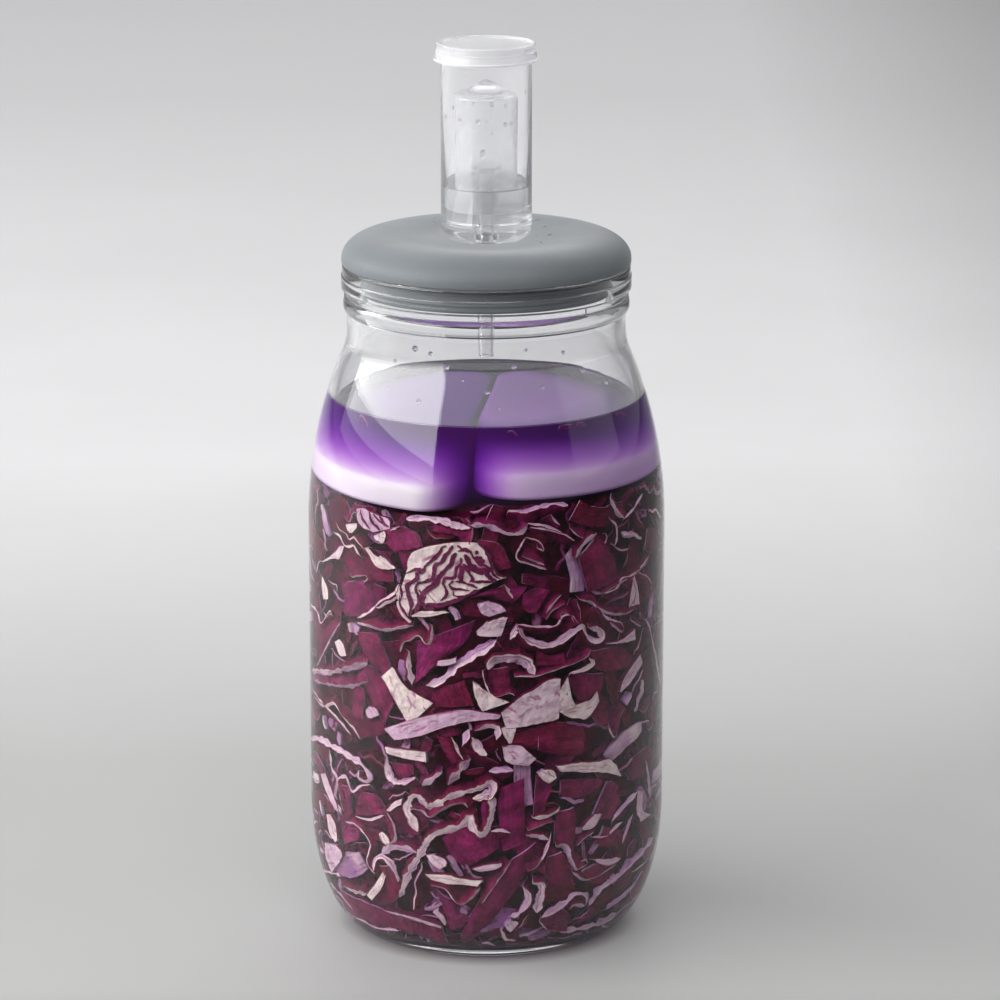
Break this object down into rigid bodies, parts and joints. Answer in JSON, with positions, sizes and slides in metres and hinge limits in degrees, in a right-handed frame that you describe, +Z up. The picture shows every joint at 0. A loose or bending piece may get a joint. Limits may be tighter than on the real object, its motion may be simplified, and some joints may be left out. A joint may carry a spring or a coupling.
{
  "type": "fermentation jar",
  "caption": "Clear glass jar of shredded red cabbage in violet brine, pressed by half-moon weights and shut by a domed plug lid with a water airlock.",
  "frame": {"origin": "centre of the jar's foot, on the surface that it stands on", "axes": "+Z up along the jar's axis, -Y towards the viewer of the picture, +X to the viewer's right"},
  "size_m": [0.14, 0.14, 0.353],
  "materials": {
    "glass": "clear, polished",
    "silicone": "matte blue-grey",
    "clear_plastic": "clear, glossy",
    "frosted_plastic": "milky, semi-matte",
    "water": "clear liquid",
    "brine": "violet liquid",
    "ceramic": "smooth white glaze",
    "red_cabbage": "wet leaf, dark red skin and pale cut flesh"
  },
  "bodies": {
    "root": {"jar": "glass", "lid": "silicone", "airlock_body": "clear_plastic", "airlock_float": "frosted_plastic", "airlock_cap": "frosted_plastic", "airlock_water": "water", "weight_left": "ceramic", "weight_right": "ceramic", "cabbage": "red_cabbage"}
  },
  "joints": []
}
